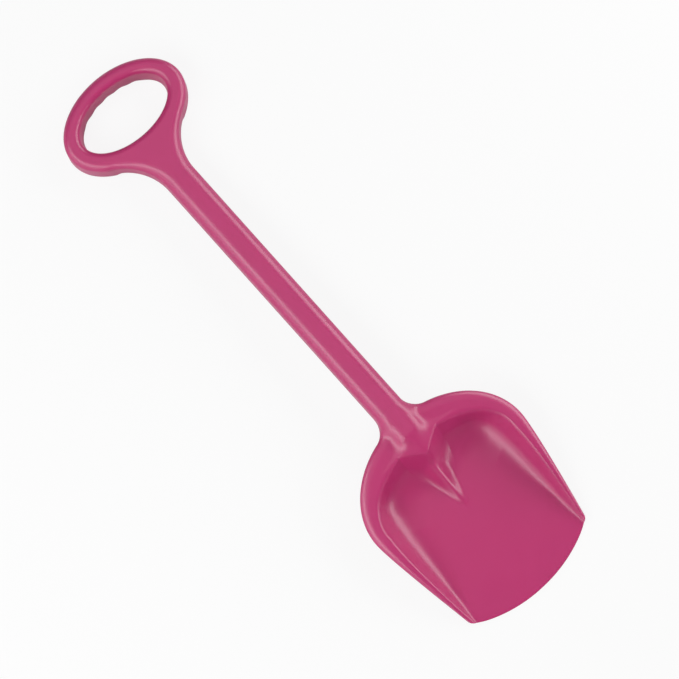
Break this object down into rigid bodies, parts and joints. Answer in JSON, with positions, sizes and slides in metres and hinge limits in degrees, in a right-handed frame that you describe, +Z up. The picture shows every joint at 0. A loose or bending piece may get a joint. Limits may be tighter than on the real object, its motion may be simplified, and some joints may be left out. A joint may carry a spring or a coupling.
{
  "type": "sand shovel",
  "caption": "Long-handled sand shovel for children: round-ended pan blade with a rolled-down rim, hollow-backed ridge shaft and an oval grip ring.",
  "frame": {"origin": "middle of the bounding box at ground level, with the shovel lying on its back", "axes": "+X along the shaft from the grip ring to the tip of the blade; +Z up, out of the pan's mouth; +Y across the blade"},
  "size_m": [0.4987, 0.1442, 0.0329],
  "materials": {
    "pink_plastic": "gloss"
  },
  "bodies": {
    "root": {"blade": "pink_plastic", "shaft": "pink_plastic", "shaft_ribs": "pink_plastic", "grip_ring": "pink_plastic", "grip_ribs": "pink_plastic"}
  },
  "joints": []
}
